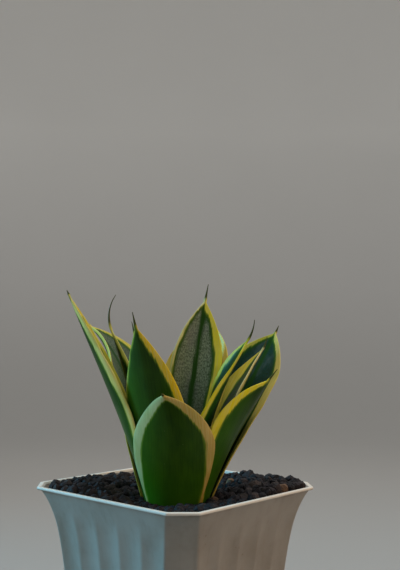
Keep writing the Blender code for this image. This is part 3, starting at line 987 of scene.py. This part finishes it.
# %% Stem material: snake plant rhizome
def rhizome_skin():
    made, tree, shader = new_material("rhizome_skin", 0.6, 1.45)
    place = add(tree, "TexCoord").outputs["Object"]
    scars = noise(tree, stretched(tree, place, 0.006, 0.006, 0.0018), 1.0, 4.0)
    base = blend(tree, step(tree, scars, 0.4, 0.7), linear("#c79a52"), linear("#8a6234"))
    tree.links.new(base, shader.inputs["Base Color"])
    tree.links.new(bump(tree, scars, 0.5, 0.0006), shader.inputs["Normal"])
    return made


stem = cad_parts["rhizome"]
stem.data.materials.clear()
stem.data.materials.append(rhizome_skin())
print("stem kept from the solid model")

# %% [markdown]
# ## Floor
#
# A plain pale studio floor. It is a wide dish: flat where the pot stands, and curving up into a
# wall far out on every side, so that no horizon shows behind the plant from any direction. The
# paint gets paler with height: painted light that evens out the light, which is stronger on the
# flat floor than high up the wall.

# %% Floor
FLAT_RADIUS = 1.0
BEND_RADIUS = 1.4
WALL_TOP = 2.0
FLOOR_SIDES = 96


def make_floor():
    """Radius r runs outwards; the height is 0 up to FLAT_RADIUS, then follows a quarter circle of
    BEND_RADIUS, and then goes straight up to WALL_TOP."""
    flat = np.linspace(0.02, FLAT_RADIUS, 10)
    turn = np.linspace(0.0, math.pi / 2, 24)[1:]
    r = np.concatenate([flat, FLAT_RADIUS + BEND_RADIUS * np.sin(turn), [FLAT_RADIUS + BEND_RADIUS]])
    z = np.concatenate([0 * flat, BEND_RADIUS - BEND_RADIUS * np.cos(turn), [WALL_TOP]])
    around = np.linspace(0.0, 2 * math.pi, FLOOR_SIDES, endpoint=False)
    x, y = np.outer(r, np.cos(around)), np.outer(r, np.sin(around))
    rings = np.stack([x, y, np.repeat(z[:, None], FLOOR_SIDES, axis=1)], axis=-1)
    quads = ring_faces(len(r), FLOOR_SIDES).reshape(-1, 4).tolist()
    mesh = bpy.data.meshes.new("floor")
    mesh.from_pydata(rings.reshape(-1, 3), [], quads + [list(range(FLOOR_SIDES))])
    mesh.shade_smooth()
    made, tree, shader = new_material("matt_studio_paint", 0.9, 1.45)
    place = add(tree, "TexCoord").outputs["Object"]
    grain = noise(tree, place, 0.25, 3.0)
    height = add(tree, "SeparateXYZ", {"Vector": place}).outputs["Z"]
    low, middle, high = linear("#9c9a97"), linear("#c2c0bd"), linear("#e6e4e0")
    # painted light: paler paint higher up evens out the light, which is stronger on the floor than up
    # the wall
    paint = ramp(tree, height, (0.0, low), (0.35, middle), (0.9, high))
    paint = blend(tree, times(tree, grain, 0.1), paint, linear("#b6b4b1"))
    tree.links.new(paint, shader.inputs["Base Color"])
    floor = link("floor", mesh)
    floor.data.materials.append(made)
    return floor


floor = make_floor()
print("floor:", len(floor.data.polygons), "faces")

# %% [markdown]
# ## Light
#
# One wide soft panel overhead lights the rim and the tops of the leaves, and leaves the pot's
# sides in gentle shade. A cool panel on the left and a weak warm one on the right tint those two
# sides differently, which shows the corner between them. Their light is kept in a narrow cone, so
# that it colours little of the floor and the wall.

# %% Lights
LIGHT_AIM = 0.12  # height of the point that the panels face


def panel(name, azimuth, elevation, distance, size, watts, colour, spread_deg=180):
    """A square area light on a sphere round the plant, turned to face it. The distance and size
    are in metres. Its light leaves it within the spread angle."""
    a, e = math.radians(azimuth), math.radians(elevation)
    away = np.array([math.sin(a) * math.cos(e), -math.cos(a) * math.cos(e), math.sin(e)])
    light = bpy.data.lights.new(name, "AREA")
    light.energy = watts
    light.size = size
    light.spread = math.radians(spread_deg)
    light.color = linear(colour)[:3]
    lamp = bpy.data.objects.new(name, light)
    lamp.location = away * distance + UP * LIGHT_AIM
    lamp.rotation_euler = (math.pi / 2 - e, 0.0, a)
    bpy.context.scene.collection.objects.link(lamp)
    return lamp


panel("top_panel", 180, 74, 1.2, 0.8, 7.5, "#fffefa")
panel("cool_panel", -58, 14, 1.5, 0.4, 1.2, "#62ccf2", spread_deg=40)
panel("warm_panel", 118, 14, 1.5, 0.4, 0.28, "#ffb866", spread_deg=40)
world = bpy.data.worlds.new("studio")
world.use_nodes = True
world.node_tree.nodes["Background"].inputs["Color"].default_value = linear("#f2f2f1")
world.node_tree.nodes["Background"].inputs["Strength"].default_value = 0.58
bpy.context.scene.world = world
bpy.context.scene.view_settings.view_transform = "Standard"
print("lights: 3 panels and a dim sky")

# %% [markdown]
# ## Camera
#
# The camera looks at one corner of the pot from a little above the lip, from half a metre away.
# It is set from an azimuth, a distance and a height, plus a small turn, tilt and roll.

# %% Camera
CAMERA_AZIMUTH = 42.36
CAMERA_DISTANCE = 0.4642
CAMERA_ABOVE_LIP = 0.0808
CAMERA_TURN = -1.48
CAMERA_TILT = 3.95
CAMERA_ROLL = 0.74
CAMERA_LENS = 51.2  # mm on a 36 mm sensor


def make_camera():
    """Columns of the matrix: right and up, rolled about the view, then backwards, then the place."""
    azimuth, turn = math.radians(CAMERA_AZIMUTH), math.radians(CAMERA_TURN)
    tilt, roll = math.radians(CAMERA_TILT), math.radians(CAMERA_ROLL)
    place = CAMERA_DISTANCE * np.array([math.sin(azimuth), -math.cos(azimuth), 0.0])
    place = place + UP * (POT_HEIGHT + CAMERA_ABOVE_LIP)
    look = np.array([-math.sin(azimuth + turn), math.cos(azimuth + turn), 0.0]) * math.cos(tilt)
    look = look + UP * math.sin(tilt)
    right = np.cross(look, UP)
    right /= np.linalg.norm(right)
    up = np.cross(right, look)
    columns = np.eye(4)
    columns[:3, 0] = right * math.cos(roll) + up * math.sin(roll)
    columns[:3, 1] = up * math.cos(roll) - right * math.sin(roll)
    columns[:3, 2] = -look
    columns[:3, 3] = place
    camera = bpy.data.objects.new("camera", bpy.data.cameras.new("camera"))
    camera.data.lens = CAMERA_LENS
    camera.matrix_world = columns.T
    bpy.context.scene.collection.objects.link(camera)
    bpy.context.scene.camera = camera
    return camera


camera = make_camera()
print("camera, m:", [round(c, 3) for c in camera.matrix_world.translation])
